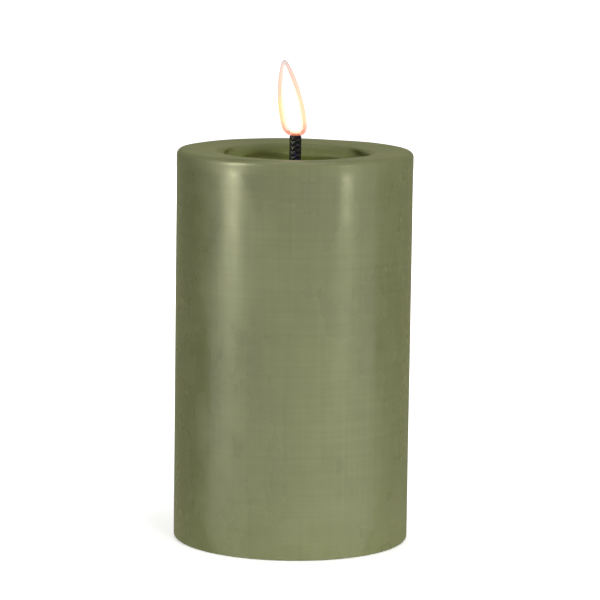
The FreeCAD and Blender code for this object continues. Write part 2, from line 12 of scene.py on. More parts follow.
import bmesh
import bpy
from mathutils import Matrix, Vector


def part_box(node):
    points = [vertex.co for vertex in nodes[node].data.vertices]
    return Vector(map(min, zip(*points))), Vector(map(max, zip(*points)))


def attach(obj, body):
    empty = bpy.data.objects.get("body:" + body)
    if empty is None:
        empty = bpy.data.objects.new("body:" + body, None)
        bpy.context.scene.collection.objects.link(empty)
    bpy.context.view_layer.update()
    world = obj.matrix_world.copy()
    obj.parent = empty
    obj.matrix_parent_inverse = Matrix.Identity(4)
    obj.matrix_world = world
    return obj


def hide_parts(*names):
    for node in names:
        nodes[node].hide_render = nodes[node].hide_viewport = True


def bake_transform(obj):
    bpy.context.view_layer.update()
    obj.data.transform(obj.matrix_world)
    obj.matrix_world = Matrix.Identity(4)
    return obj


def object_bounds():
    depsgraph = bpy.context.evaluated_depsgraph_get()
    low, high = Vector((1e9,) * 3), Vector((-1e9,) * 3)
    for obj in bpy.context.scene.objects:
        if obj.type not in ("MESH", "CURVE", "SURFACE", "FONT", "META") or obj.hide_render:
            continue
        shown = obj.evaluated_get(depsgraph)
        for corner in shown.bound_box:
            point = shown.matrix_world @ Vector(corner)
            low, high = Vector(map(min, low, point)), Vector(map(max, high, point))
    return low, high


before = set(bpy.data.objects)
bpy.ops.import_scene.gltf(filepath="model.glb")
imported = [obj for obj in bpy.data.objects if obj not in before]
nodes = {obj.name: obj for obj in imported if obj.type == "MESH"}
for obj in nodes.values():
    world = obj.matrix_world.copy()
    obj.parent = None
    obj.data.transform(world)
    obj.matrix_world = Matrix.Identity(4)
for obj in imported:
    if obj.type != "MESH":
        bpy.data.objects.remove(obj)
cad_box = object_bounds()
MM = 0.001
print("nodes", len(nodes), "box", [[round(v, 4) for v in corner] for corner in cad_box])

# %% [markdown]
# ## Measuring the frame
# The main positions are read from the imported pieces. The wax body gives the radius and height, and
# the wick and the flame give the levels that they start and end at. What a box can't tell, such as
# the size of the dish, is given where it is used.

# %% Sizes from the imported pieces
wax_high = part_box("wax_shell")[1]
sleeve_low, sleeve_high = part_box("wick_sleeve")
flame_low, flame_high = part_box("flame_shell")
flange_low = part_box("lower_housing")[0]
window_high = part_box("ir_window")[1]

BODY_R = wax_high.x
BODY_H = wax_high.z
SLEEVE_R = sleeve_high.x
FLAME_Z = flame_low.z
FLAME_H = flame_high.z - flame_low.z
print("body", BODY_R, BODY_H, "wick", SLEEVE_R, "flame", FLAME_Z, FLAME_H)

# %% [markdown]
# ## Working by hand, in code
# An operator acts on whatever is selected, and the loaded nodes arrive selected. So each piece
# starts from nothing selected, and inside edit mode the faces or edges to work on are picked by
# where they are. These few helpers are all that the modelling below needs.

# %% Helpers for modelling
def start(name, add, **settings):
    """Adds one primitive with nothing else selected, and names it."""
    bpy.ops.object.select_all(action="DESELECT")
    add(**settings)
    piece = bpy.context.object
    piece.name = name
    piece.data.name = name
    return piece


def edit(piece):
    bpy.ops.object.select_all(action="DESELECT")
    bpy.context.view_layer.objects.active = piece
    piece.select_set(True)
    bpy.ops.object.mode_set(mode="EDIT")
    bpy.ops.mesh.select_all(action="DESELECT")


def pick(piece, kind, test):
    """Selects the faces or edges of a piece in edit mode that pass the test, and counts them."""
    bpy.ops.mesh.select_mode(type={"faces": "FACE", "edges": "EDGE"}[kind])
    bpy.ops.mesh.select_all(action="DESELECT")
    mesh = bmesh.from_edit_mesh(piece.data)
    count = 0
    for item in getattr(mesh, kind):
        if kind == "faces":
            chosen = test(item.calc_center_median(), item.normal)
        else:
            chosen = test(item.verts[0].co, item.verts[1].co)
        if chosen:
            item.select = True
            count += 1
    mesh.select_flush_mode()
    bmesh.update_edit_mesh(piece.data)
    return count


def ring_edges(piece, radius, height, slack=0.05 * MM):
    """Selects the round edge of this radius at this height."""
    def on_ring(point):
        return abs(math.hypot(point.x, point.y) - radius) < slack and abs(point.z - height) < slack
    return pick(piece, "edges", lambda a, b: on_ring(a) and on_ring(b))


def level_edges(piece, height, slack=0.01 * MM):
    """Selects every edge that lies level at this height."""
    return pick(piece, "edges", lambda a, b: abs(a.z - height) < slack and abs(b.z - height) < slack)


def extrude(shift=(0, 0, 0)):
    """Extrudes what is selected, and moves it."""
    bpy.ops.mesh.extrude_region_move(TRANSFORM_OT_translate={"value": shift})


def resize(ratio, centre):
    """Resizes what is selected sideways, about a centre."""
    bpy.ops.transform.resize(value=(ratio, ratio, 1), center_override=centre)


def finish_mesh(piece, angle=40, merge=0.002 * MM):
    """Merges doubles, turns every face outwards and smooths the shading up to an angle."""
    edit(piece)
    bpy.ops.mesh.select_all(action="SELECT")
    bpy.ops.mesh.remove_doubles(threshold=merge)
    bpy.ops.mesh.normals_make_consistent(inside=False)
    bpy.ops.object.mode_set(mode="OBJECT")
    bpy.ops.object.transform_apply(location=True, rotation=True, scale=True)
    bpy.ops.object.shade_smooth_by_angle(angle=math.radians(angle))
    print(piece.name, "faces", len(piece.data.polygons))
    return piece


def apply_modifier(piece, kind, **settings):
    modifier = piece.modifiers.new(kind.lower(), kind)
    for setting, value in settings.items():
        setattr(modifier, setting, value)
    bpy.context.view_layer.objects.active = piece
    bpy.ops.object.modifier_apply(modifier=modifier.name)


def place(piece, body, slot_name, *replaced):
    """Files a finished piece: what it rides on, and the nodes that it stands for. slot_name is not used.
    """
    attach(piece, body)
    if replaced:
        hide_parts(*replaced)


# %% [markdown]
# ## The wax body
# A pillar candle is cast in a tube, so its side is straight, and the top is dished as if it had
# burned for an evening. It could be spun from an outline. Starting from a cylinder is closer to
# how the shape is made: the top face is inset for the rim and pushed down for the dish, and the
# bottom face is inset and pushed up for the hollow that holds the base module.

# %% Wax body: rim, dish and hollow
RIM_W = 3.0 * MM
RIM_DROP = 0.8 * MM
DISH_R = 23.0 * MM
DISH_FLOOR_R = 20.5 * MM
DISH_FLOOR_Z = 117.0 * MM
CEILING_Z = window_high.z - 6.6 * MM
WICK_HOLE_R = 3.5 * MM
CAVITY_R = 32.5 * MM
REBATE_R = 34.0 * MM
REBATE_H = 4.0 * MM

wax = start("wax_body", bpy.ops.mesh.primitive_cylinder_add, vertices=240, radius=BODY_R, depth=BODY_H,
            location=(0, 0, BODY_H / 2))
edit(wax)


def end_face(piece, facing):
    """Selects the one big face at the piece's top or bottom."""
    pick(piece, "faces", lambda centre, normal: normal.z * facing > 0.9)


def push(rise):
    """Extrudes what is selected straight up, or down where rise is negative."""
    extrude((0, 0, rise))


end_face(wax, 1)
bpy.ops.mesh.inset(thickness=RIM_W)
bpy.ops.mesh.inset(thickness=BODY_R - RIM_W - DISH_R)
bpy.ops.transform.translate(value=(0, 0, -RIM_DROP))
push(DISH_FLOOR_Z - (BODY_H - RIM_DROP))
resize(DISH_FLOOR_R / DISH_R, (0, 0, 0))
bpy.ops.mesh.inset(thickness=DISH_FLOOR_R - WICK_HOLE_R)
push(CEILING_Z - DISH_FLOOR_Z)
bpy.ops.mesh.delete(type="ONLY_FACE")
end_face(wax, -1)
bpy.ops.mesh.inset(thickness=BODY_R - REBATE_R)
push(REBATE_H)
bpy.ops.mesh.inset(thickness=REBATE_R - CAVITY_R)
push(CEILING_Z - REBATE_H)
bpy.ops.mesh.inset(thickness=CAVITY_R - WICK_HOLE_R)
bpy.ops.mesh.delete(type="ONLY_FACE")
bpy.ops.object.mode_set(mode="OBJECT")
bpy.ops.object.transform_apply(location=True)
print("wax body", len(wax.data.vertices))


# %% [markdown]
# Wax has no sharp edges: the rim is rounded by handling, the lip of the dish by the melt, and the
# foot by the mould's lip. Each is a bevel on a ring of edges. Rings are then cut with bisect: close
# ones in the dish, which needs points enough to be pushed about in the next step, and a few round
# the side, so that its faces are less long.

# %% Wax body: rounded edges and rings to shape
edit(wax)
for radius, height, width, segments in [
    (BODY_R, BODY_H, 1.8 * MM, 7),
    (DISH_R, BODY_H - RIM_DROP, 1.4 * MM, 5),
    (DISH_FLOOR_R, DISH_FLOOR_Z, 3.0 * MM, 5),
    (BODY_R, 0, 1.0 * MM, 4),
    (CAVITY_R, CEILING_Z, 2.4 * MM, 3),
]:
    count = ring_edges(wax, radius, height)
    bpy.ops.mesh.bevel(offset=width, segments=segments, profile=0.5, affect="EDGES")
    print("bevelled", count, "edges at", round(radius / MM, 1), round(height / MM, 1))


def cut_rings(piece, heights):
    for height in heights:
        bpy.ops.mesh.select_all(action="SELECT")
        bpy.ops.mesh.bisect(plane_co=(0, 0, height), plane_no=(0, 0, 1))


RING_STEP = 0.6 * MM
WALL_RINGS = [BODY_H * share for share in (0.1, 0.25, 0.4, 0.55, 0.7, 0.85)]
DISH_RINGS = [DISH_FLOOR_Z + RING_STEP * (step + 1) for step in range(11)]
cut_rings(wax, WALL_RINGS + DISH_RINGS)
bpy.ops.object.mode_set(mode="OBJECT")
print("wax body", len(wax.data.vertices))

# %% [markdown]
# The melted look comes from unevenness that no one would draw. A few sine waves round the axis,
# of different counts, move the lip in and out by half a millimetre or so. Slow ridges run round
# the wall of the dish, where wax has set in steps. The rim sags a little, more in some places than
# in others, and the floor of the dish rises at its edge. The side of the candle keeps its shape.

# %% Wax body: the melt
def fade(value, low, high):
    """0 below low, 1 above high, and smooth between."""
    share = min(max((value - low) / (high - low), 0.0), 1.0)
    return share * share * (3 - 2 * share)


def waves(angle, *terms):
    """A sum of sine waves round the axis, each given as (count, phase, height)."""
    return sum(height * math.sin(count * angle + phase) for count, phase, height in terms)


RIDGE_DEPTH = 0.75 * MM
RIDGE_TURNS = 1.6
FLOOR_RISE = 0.3 * MM
for vertex in wax.data.vertices:
    x, y, z = vertex.co
    radius = math.hypot(x, y)
    angle = math.atan2(y, x)
    in_dish = fade(z, DISH_FLOOR_Z, DISH_FLOOR_Z + 2 * MM) * (1 - fade(radius, 24 * MM, 29 * MM))
    in_dish *= fade(radius, 8 * MM, 16 * MM)
    lip = waves(angle, (3, 0.7, 0.45), (5, 2.1, 0.30), (8, 4.0, 0.16)) * MM
    turns = RIDGE_TURNS * (z - DISH_FLOOR_Z) / (BODY_H - DISH_FLOOR_Z)
    ridge = RIDGE_DEPTH * math.sin(2 * math.pi * turns + waves(angle, (2, 1.0, 1.3), (5, 0.2, 0.8)))
    moved = radius + in_dish * (lip + ridge)
    on_top = fade(z, DISH_FLOOR_Z + 5 * MM, BODY_H) * fade(radius, 20 * MM, 24 * MM)
    sag = on_top * (0.16 + waves(angle, (2, 0.4, 0.06), (5, 1.9, 0.05), (9, 3.0, 0.03))) * MM
    near_edge = (1 - fade(radius, 15 * MM, 21 * MM)) * fade(radius, 5 * MM, 9 * MM)
    if abs(z - DISH_FLOOR_Z) < 0.01 * MM:
        sag -= near_edge * FLOOR_RISE
    if radius > 1e-6:
        vertex.co.x = x * moved / radius
        vertex.co.y = y * moved / radius
    vertex.co.z = z - sag

finish_mesh(wax, angle=35)
place(wax, "candle", "sage_wax", "wax_shell")

# %% [markdown]
# ## The wick
# The wick is a stiff sleeve of black braid round a metal tube. At this size each strand is about a
# millimetre wide, so a few real strands matter more than threads: a smooth bump would leave the
# outline straight. A fine tube of faces is pushed in wherever there is a gap between strands,
# which keeps the sleeve one closed piece. Strands wound one way pass over and under the others.

# %% Wick: braided sleeve
STRANDS = 4
BRAID_PITCH = 6.4 * MM
BRAID_DEPTH = 0.28 * MM
STEM_R = 1.15 * MM
STEM_GAP = 0.1 * MM
END_ROUND = 0.2 * MM
END_LENGTH = 0.4 * MM
SLEEVE_RINGS = 72
SLEEVE_H = sleeve_high.z - sleeve_low.z
wick = start("wick_braid", bpy.ops.mesh.primitive_cylinder_add, vertices=120, radius=SLEEVE_R,
             depth=SLEEVE_H, end_fill_type="NOTHING",
             location=(0, 0, (sleeve_low.z + sleeve_high.z) / 2))
bpy.ops.object.transform_apply(location=True)
edit(wick)
cut_rings(wick, [sleeve_low.z + SLEEVE_H * (ring + 1) / SLEEVE_RINGS for ring in range(SLEEVE_RINGS - 1)])
bpy.ops.object.mode_set(mode="OBJECT")


def braid_height(angle, z):
    """How far the braid stands out, from 0 in a gap to 1 on the crown of an upper strand."""
    rise = 2 * math.pi * z / BRAID_PITCH
    right = STRANDS * (angle + rise) / 2
    left = STRANDS * (angle - rise) / 2
    over = math.sin(right + left)
    right_crown = math.cos(right) ** 2 * (0.75 + 0.25 * over)
    left_crown = math.sin(left) ** 2 * (0.75 - 0.25 * over)
    return min(1.25 * max(right_crown, left_crown), 1)


for vertex in wick.data.vertices:
    x, y, z = vertex.co
    radius = math.hypot(x, y)
    height = braid_height(math.atan2(y, x), z)
    from_end = min(z - sleeve_low.z, sleeve_high.z - z)
    moved = radius - BRAID_DEPTH * (1 - height) - END_ROUND * (1 - fade(from_end, 0, END_LENGTH))
    vertex.co.x = x * moved / radius
    vertex.co.y = y * moved / radius
apply_modifier(wick, "SOLIDIFY", thickness=SLEEVE_R - BRAID_DEPTH - STEM_R - STEM_GAP, offset=-1)
finish_mesh(wick, angle=60)
place(wick, "candle", "wick_braid", "wick_sleeve")

# %% [markdown]
# ## The flame
# The flame is a thin moulding of peach plastic, shaped like a drop that leans to one side, with a
# milky light guide inside it. Lit, the guide is white and only the wall round it keeps a colour.
# Both are drawn the same way: a ring at the foot is extruded up and resized along the outline,
# sliding sideways with the lean, and the last ring is gathered into the tip.

# %% Flame: one drop inside another
# The flame's sizes are in millimetres: its outline is given as radius and height above the foot.
FLAME_LEAN = 0.16
FLAME_OUTLINE = [
    (1.95, 0.0), (2.6, 0.25), (3.15, 0.8), (3.6, 1.4), (3.85, 2.0), (4.05, 3.0),
    (4.18, 5.0), (4.2, 7.0), (4.1, 10.2), (3.75, 12.9), (3.3, 15.7), (2.85, 17.6),
    (2.2, 20.0), (1.7, 21.3), (1.15, 22.7), (0.6, 23.5),
]
FLAME_TIP = 23.9
FLAME_TIP_R = 0.02
SHORTEST_STEP = 0.1
FLAME_TAPER_R = 2.2


def flame_inside(inset):
    """The outline of a drop smaller than the flame by inset, less so where the flame narrows."""
    shrink = (FLAME_TIP - 1.5 * inset) / FLAME_TIP
    rings = []
    for radius, height in FLAME_OUTLINE:
        rings.append((radius - inset * min(radius / FLAME_TAPER_R, 1), height * shrink))
    return rings + [(FLAME_TIP_R, FLAME_TIP * shrink)]


def flame_foot(inset, floor):
    """The radius of the ring that a drop starts from, where its outline crosses floor."""
    rings = flame_inside(inset)
    for (r0, h0), (r1, h1) in zip(rings, rings[1:]):
        if h0 <= floor <= h1:
            return r0 + (r1 - r0) * (floor - h0) / (h1 - h0)
    return rings[0][0]


def flame_middle(height, nudge=0.0):
    """The middle of the leaning flame at a height above its foot, as a place in the frame."""
    return ((nudge - FLAME_LEAN * height) * MM, 0, FLAME_Z + height * MM)


def flame_drop(name, inset, floor, nudge=0.0):
    """A ring at the foot, extruded up the outline to a closed tip, leaning as it goes."""
    radius_now, height_now = flame_foot(inset, floor), floor
    piece = start(name, bpy.ops.mesh.primitive_circle_add, vertices=48, radius=radius_now * MM)
    edit(piece)
    bpy.ops.mesh.select_all(action="SELECT")
    bpy.ops.transform.translate(value=flame_middle(height_now, nudge))
    for radius, height in flame_inside(inset):
        if height < floor + SHORTEST_STEP:
            continue
        step = height - height_now
        extrude((-FLAME_LEAN * step * MM, 0, step * MM))
        resize(radius / radius_now, flame_middle(height, nudge))
        radius_now, height_now = radius, height
    bpy.ops.mesh.merge(type="COLLAPSE")
    return piece


FLAME_WALL = 0.7
FLAME_FLOOR = 0.6
flame_inner = flame_drop("flame_inner", FLAME_WALL, FLAME_FLOOR)
bpy.ops.mesh.select_all(action="SELECT")
bpy.ops.mesh.flip_normals()
bpy.ops.object.mode_set(mode="OBJECT")
flame = flame_drop("flame_wall", 0, 0)
bpy.ops.object.mode_set(mode="OBJECT")
flame_inner.select_set(True)
bpy.ops.object.join()
print("flame wall", len(flame.data.vertices))

# %% [markdown]
# The two drops are one solid wall once their open feet are joined. The outer foot ring and the
# inner one are both level, so a bridge between them makes the floor that the lamp stands on.

# %% Flame: join the two drops at the foot
edit(flame)
level_edges(flame, FLAME_Z)
extrude()
resize(STEM_R / MM / flame_foot(0, 0), (0, 0, FLAME_Z))
push(FLAME_FLOOR * MM)
level_edges(flame, FLAME_Z + FLAME_FLOOR * MM)
bpy.ops.mesh.bridge_edge_loops()
bpy.ops.object.mode_set(mode="OBJECT")
apply_modifier(flame, "SUBSURF", levels=1, render_levels=1)
finish_mesh(flame, angle=50)
place(flame, "candle", "flame_shell_plastic", "flame_shell")

# %% [markdown]
# The light guide is the same drop, smaller, and closed at its foot. Its foot ring is drawn in and
# pushed up into a pocket with a rounded roof, where the lamp's dome sits.

# %% Flame: the light guide, with a pocket for the lamp
CORE_INSET = 1.0
CORE_NUDGE = -0.15
CORE_FLOOR = 1.6
LAMP_POCKET_R = 1.8
POCKET_STEPS = [(2.2, 1.0), (0.9, 0.86), (0.6, 0.6)]
core = flame_drop("flame_light_guide", CORE_INSET, CORE_FLOOR, CORE_NUDGE)
core_foot = flame_middle(CORE_FLOOR, CORE_NUDGE)
level_edges(core, core_foot[2])
extrude()
resize(LAMP_POCKET_R / flame_foot(CORE_INSET, CORE_FLOOR), core_foot)
for rise, shrink in POCKET_STEPS:
    push(rise * MM)
    resize(shrink, core_foot)
bpy.ops.mesh.edge_face_add()
bpy.ops.object.mode_set(mode="OBJECT")
finish_mesh(core, angle=50)
place(core, "candle", "flame_core_plastic", "flame_core")

# %% [markdown]
# ## Marks on the underside
# The base carries a few raised marks, the kind that any battery product has: a bar, a ring and a
# clock face beside the three places of the switch, and an arrow on the door's tab. They are thin
# prisms, drawn once each and set on the plastic. They are symbols and spell nothing.

# %% Underside: switch marks
knob_low, knob_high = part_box("switch_knob")
door_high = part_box("battery_door")[1]
MARK_RISE = 0.18 * MM
MARK_ROW_Y = (knob_low.y + knob_high.y) / 2 - 2.75 * MM
PANEL_Z = 2.2 * MM
SWITCH_STEP = 2.0 * MM
knob_x = (knob_low.x + knob_high.x) / 2


def mark_bar(name, x, y, z, length, width, turn=0.0):
    """A flat bar with softened edges, standing down from a face that looks down."""
    bar = start(name, bpy.ops.mesh.primitive_cube_add, size=1, location=(x, y, z - MARK_RISE / 2),
                rotation=(0, 0, turn))
    bar.scale = (length, width, MARK_RISE * 1.2)
    bpy.ops.object.transform_apply(location=True, rotation=True, scale=True)
    apply_modifier(bar, "BEVEL", width=0.05 * MM, segments=2)
    return bar


def mark_ring(name, x, y, z, outer, inner):
    """A flat ring: a disc inset and holed, then given its thickness."""
    ring = start(name, bpy.ops.mesh.primitive_circle_add, vertices=40, radius=outer, fill_type="NGON",
                 location=(x, y, z - MARK_RISE))
    bpy.ops.object.transform_apply(location=True)
    edit(ring)
    bpy.ops.mesh.select_all(action="SELECT")
    bpy.ops.mesh.inset(thickness=outer - inner)
    bpy.ops.mesh.delete(type="FACE")
    bpy.ops.mesh.select_all(action="SELECT")
    push(MARK_RISE * 1.1)
    bpy.ops.object.mode_set(mode="OBJECT")
    return ring


def join(pieces):
    bpy.ops.object.select_all(action="DESELECT")
    for piece in pieces:
        piece.select_set(True)
    bpy.context.view_layer.objects.active = pieces[0]
    bpy.ops.object.join()
    return pieces[0]


timer_x = knob_x + 2 * SWITCH_STEP
marks = join([
    mark_bar("switch_marks", knob_x, MARK_ROW_Y, PANEL_Z, 0.25 * MM, 1.3 * MM),
    mark_ring("off_ring", knob_x + SWITCH_STEP, MARK_ROW_Y, PANEL_Z, 0.65 * MM, 0.45 * MM),
    mark_ring("clock_ring", timer_x, MARK_ROW_Y, PANEL_Z, 0.75 * MM, 0.58 * MM),
    mark_bar("clock_hand", timer_x, MARK_ROW_Y + 0.2 * MM, PANEL_Z, 0.16 * MM, 0.5 * MM),
    mark_bar("clock_hand", timer_x + 0.16 * MM, MARK_ROW_Y, PANEL_Z, 0.4 * MM, 0.16 * MM),
])
finish_mesh(marks, angle=30, merge=0.0005 * MM)
place(marks, "candle", "base_ivory")

# %% Underside: arrow on the door
arrow_x = door_high.x - 9.0 * MM
arrow = start("door_arrow", bpy.ops.mesh.primitive_cylinder_add, vertices=3, radius=2.2 * MM,
              depth=MARK_RISE * 2, location=(arrow_x, 0, flange_low.z), rotation=(0, 0, -math.pi / 2))
bpy.ops.object.transform_apply(location=True, rotation=True)
apply_modifier(arrow, "BEVEL", width=0.12 * MM, segments=3)
finish_mesh(arrow, angle=30)
place(arrow, "door", "door_ivory")

# %% [markdown]
# ## The springs
# Each cell rests against a tapered coil, the one kind of piece here that changes shape in use. Its
# wide end stays on the contact plate and its narrow end follows the cell. A small ring is swept
# round the X axis by the screw modifier, its ends are capped, and the coil is drawn in towards
# the cell.

# %% Springs: tapered coils
SPRING_WIRE_R = 0.4 * MM
SPRING_TAPER = 1.2 * MM
SPRING_TURNS = 4
WIRE_SIDES = 12
COIL_STEPS = 28


def coil(name, node, cell):
    """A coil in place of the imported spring, from its wide end on the plate to the cell."""
    low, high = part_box(node)
    middle_y, middle_z = (low.y + high.y) / 2, (low.z + high.z) / 2
    plate_x, cell_x = (low.x, high.x) if low.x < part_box(cell)[0].x else (high.x, low.x)
    wide_r = (high.z - low.z) / 2 - SPRING_WIRE_R
    length = abs(cell_x - plate_x) - 2 * SPRING_WIRE_R
    away = math.copysign(1, cell_x - plate_x)
    piece = start(name, bpy.ops.mesh.primitive_circle_add, vertices=WIRE_SIDES, radius=SPRING_WIRE_R,
                  location=(0, wide_r, 0))
    bpy.ops.object.transform_apply(location=True)
    apply_modifier(piece, "SCREW", axis="X", angle=2 * math.pi, iterations=SPRING_TURNS,
                   steps=COIL_STEPS, render_steps=COIL_STEPS, screw_offset=length / SPRING_TURNS)
    edit(piece)
    bpy.ops.mesh.select_all(action="SELECT")
    bpy.ops.mesh.fill_holes(sides=0)
    bpy.ops.object.mode_set(mode="OBJECT")
    for vertex in piece.data.vertices:
        x, y, z = vertex.co
        drawn_in = SPRING_TAPER * min(max(x / length, 0), 1)
        ratio = 1 - drawn_in / math.hypot(y, z)
        vertex.co = (plate_x + away * (x + SPRING_WIRE_R), middle_y + y * ratio, middle_z + z * ratio)
    finish_mesh(piece, angle=60)
    return piece, (plate_x, middle_y, middle_z), (cell_x, middle_y, middle_z)


for number in (1, 2):
    piece, plate_end, cell_end = coil(f"coil_{number}", f"spring_{number}", f"battery_{number}")
    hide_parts(f"spring_{number}")
    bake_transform(piece)

# %% [markdown]
# ## Building materials
# Every finish below is a Principled BSDF. The wax, the plastics and most of the metals are fed by
# node groups. A group is built once, with named sockets, and puts out only what changes over the
# surface: a colour, a roughness and a height. The shader stays in the material, and numbers that
# never change are set on its own sockets. The rest are used once and are wired in their material.

# %% Helpers for materials
def shader_node(tree, kind, links=None, **settings):
    """Adds a node, sets its properties, and fills its inputs with plain values or links."""
    made = tree.nodes.new(kind)
    for setting, value in settings.items():
        setattr(made, setting, value)
    for socket, source in (links or {}).items():
        if isinstance(source, bpy.types.NodeSocket):
            tree.links.new(source, made.inputs[socket])
        else:
            made.inputs[socket].default_value = source
    return made


def maths(tree, operation, first, second=0.0):
    return shader_node(tree, "ShaderNodeMath", {0: first, 1: second}, operation=operation).outputs[0]


def plus(tree, first, second):
    return maths(tree, "ADD", first, second)


def times(tree, first, second):
    return maths(tree, "MULTIPLY", first, second)


def scaled(tree, colour, factor):
    """A colour made lighter or darker by a factor."""
    made = shader_node(tree, "ShaderNodeVectorMath", {0: colour, "Scale": factor}, operation="SCALE")
    return made.outputs[0]


def blend_colour(tree, factor, first, second):
    """The second colour over the first, where factor is 1."""
    mixed = shader_node(tree, "ShaderNodeMix", {0: factor, 6: first, 7: second}, data_type="RGBA")
    return mixed.outputs[2]


def stretch(tree, value, low, high, to_low=0.0, to_high=1.0):
    """Maps low..high onto to_low..to_high, and holds it there beyond."""
    ends = {0: value, 1: low, 2: high, 3: to_low, 4: to_high}
    return shader_node(tree, "ShaderNodeMapRange", ends).outputs[0]


def noise(tree, place_on, scale, detail=2.0, roughness=0.5):
    """Cloudy noise. scale is one number for round patches, or three to draw them out."""
    drawn = scale if isinstance(scale, tuple) else (scale, scale, scale)
    mapped = shader_node(tree, "ShaderNodeMapping", {"Vector": place_on, "Scale": drawn})
    inputs = {"Vector": mapped.outputs[0], "Scale": 1.0, "Detail": detail, "Roughness": roughness}
    return shader_node(tree, "ShaderNodeTexNoise", inputs).outputs[0]


def new_group(name, inputs, outputs):
    """An empty shader group with named sockets. Colours are given as colours, the rest as numbers."""
    group = bpy.data.node_groups.new(name, "ShaderNodeTree")
    for label, value in inputs.items():
        kind = "NodeSocketColor" if isinstance(value, tuple) else "NodeSocketFloat"
        socket = group.interface.new_socket(label, in_out="INPUT", socket_type=kind)
        socket.default_value = value
    for label in outputs:
        kind = "NodeSocketColor" if label == "Colour" else "NodeSocketFloat"
        group.interface.new_socket(label, in_out="OUTPUT", socket_type=kind)
    return group, group.nodes.new("NodeGroupInput").outputs, group.nodes.new("NodeGroupOutput").inputs


def object_place(tree):
    return shader_node(tree, "ShaderNodeTexCoord").outputs["Object"]


def split(tree, vector):
    """The X, Y and Z of a vector."""
    return shader_node(tree, "ShaderNodeSeparateXYZ", {0: vector}).outputs


def bump_from(tree, shader, height, depth):
    """Wires a height to the shader's normal. depth is how far it stands out where height is 1."""
    bump = shader_node(tree, "ShaderNodeBump", {"Height": height, "Distance": depth})
    tree.links.new(bump.outputs[0], shader.inputs["Normal"])


def new_material(name, **plain):
    """A material with its Principled BSDF, whose plain settings are given by socket name."""
    material = bpy.data.materials.new(name)
    material.use_nodes = True
    tree = material.node_tree
    shader = tree.nodes["Principled BSDF"]
    for socket, value in plain.items():
        shader.inputs[socket.replace("_", " ")].default_value = value
    return material, tree, shader


def use_group(tree, shader, group, depth, **values):
    """Places a group in a material and wires its colour, roughness and height to the shader."""
    used = shader_node(tree, "ShaderNodeGroup", node_tree=group)
    for socket, value in values.items():
        used.inputs[socket.replace("_", " ")].default_value = value
    tree.links.new(used.outputs["Colour"], shader.inputs["Base Color"])
    tree.links.new(used.outputs["Roughness"], shader.inputs["Roughness"])
    bump_from(tree, shader, used.outputs["Height"], depth)


def paint(material, *names):
    """Gives a material to CAD nodes or to new pieces."""
    for name in names:
        piece = nodes[name] if name in nodes else bpy.data.objects[name]
        piece.data.materials.clear()
        piece.data.materials.append(material)


def rgb(red, green, blue):
    """A screen colour, 0 to 255, as the linear colour that a shader needs."""
    def linear(level):
        share = level / 255
        return share / 12.92 if share <= 0.04045 else ((share + 0.055) / 1.055) ** 2.4
    return (linear(red), linear(green), linear(blue), 1.0)


# %% [markdown]
# ## Cast wax
# Coloured wax is never one colour. It blooms: a pale frost comes to the surface in clouds, more
# on one side than another. The mould and the wiping cloth leave fine lines, up and down and
# round about, that cross like linen. Shade is painted into the dish as a deeper colour, with
# painted light low in it and more painted shade near the lip. Light is painted on the side too:
# the colour is paler towards the foot, where light comes up from the floor, and darker towards
# the top. The gloss is uneven too: the side is polished, the rim is scuffed and the melted wax is
# dull. Light also enters the wax a little way, which the shader's own subsurface setting gives.
# Another candle in another colour could use the same group.

# %% Group: cast wax
cast_wax, wax_in, wax_out = new_group(
    "cast wax",
    {"Colour": (0.2, 0.2, 0.1, 1.0), "Bloom Colour": (0.4, 0.4, 0.3, 1.0),
     "Melted Colour": (0.1, 0.1, 0.05, 1.0), "Bloom": 0.5, "Lines": 0.5},
    ["Colour", "Roughness", "Height"],
)
spot = object_place(cast_wax)
side_x, side_y, up = split(cast_wax, spot)
squares = plus(cast_wax, times(cast_wax, side_x, side_x), times(cast_wax, side_y, side_y))
from_axis = maths(cast_wax, "SQRT", squares)
clouds = noise(cast_wax, spot, (34, 34, 22), 5, 0.6)
soft_clouds = noise(cast_wax, spot, (34, 34, 22), 1, 0.5)
wide_clouds = noise(cast_wax, spot, (15, 15, 9), 2, 0.5)
frost = noise(cast_wax, spot, 260, 3, 0.65)
blotches = noise(cast_wax, spot, (130, 130, 90), 3, 0.55)
lines_up = noise(cast_wax, spot, (780, 780, 24), 2, 0.5)
lines_round = noise(cast_wax, spot, (20, 20, 940), 2, 0.5)
lines = maths(cast_wax, "SUBTRACT", plus(cast_wax, lines_up, lines_round), 1.0)
lines = times(cast_wax, lines, wax_in["Lines"])

# Where the frost lies: in clouds, broken up finely, and in faint blotches of its own.
all_clouds = plus(cast_wax, times(cast_wax, clouds, 0.6), times(cast_wax, wide_clouds, 0.4))
cloudy = stretch(cast_wax, all_clouds, 0.36, 0.70, 0.0, 0.85)
frosted = times(cast_wax, cloudy, stretch(cast_wax, frost, 0.30, 0.70, 0.6, 1.0))
frosted = plus(cast_wax, frosted, stretch(cast_wax, blotches, 0.30, 0.80, 0.0, 0.35))

# Where the wax was hot, and where shade is painted: inside the lip of the dish, from its floor up.
melt_and_dish_shade = times(cast_wax, stretch(cast_wax, from_axis, DISH_R - 0.5 * MM, DISH_R + 3 * MM, 1.0, 0.0),
               stretch(cast_wax, up, DISH_FLOOR_Z - 2 * MM, DISH_FLOOR_Z - 0.5 * MM))
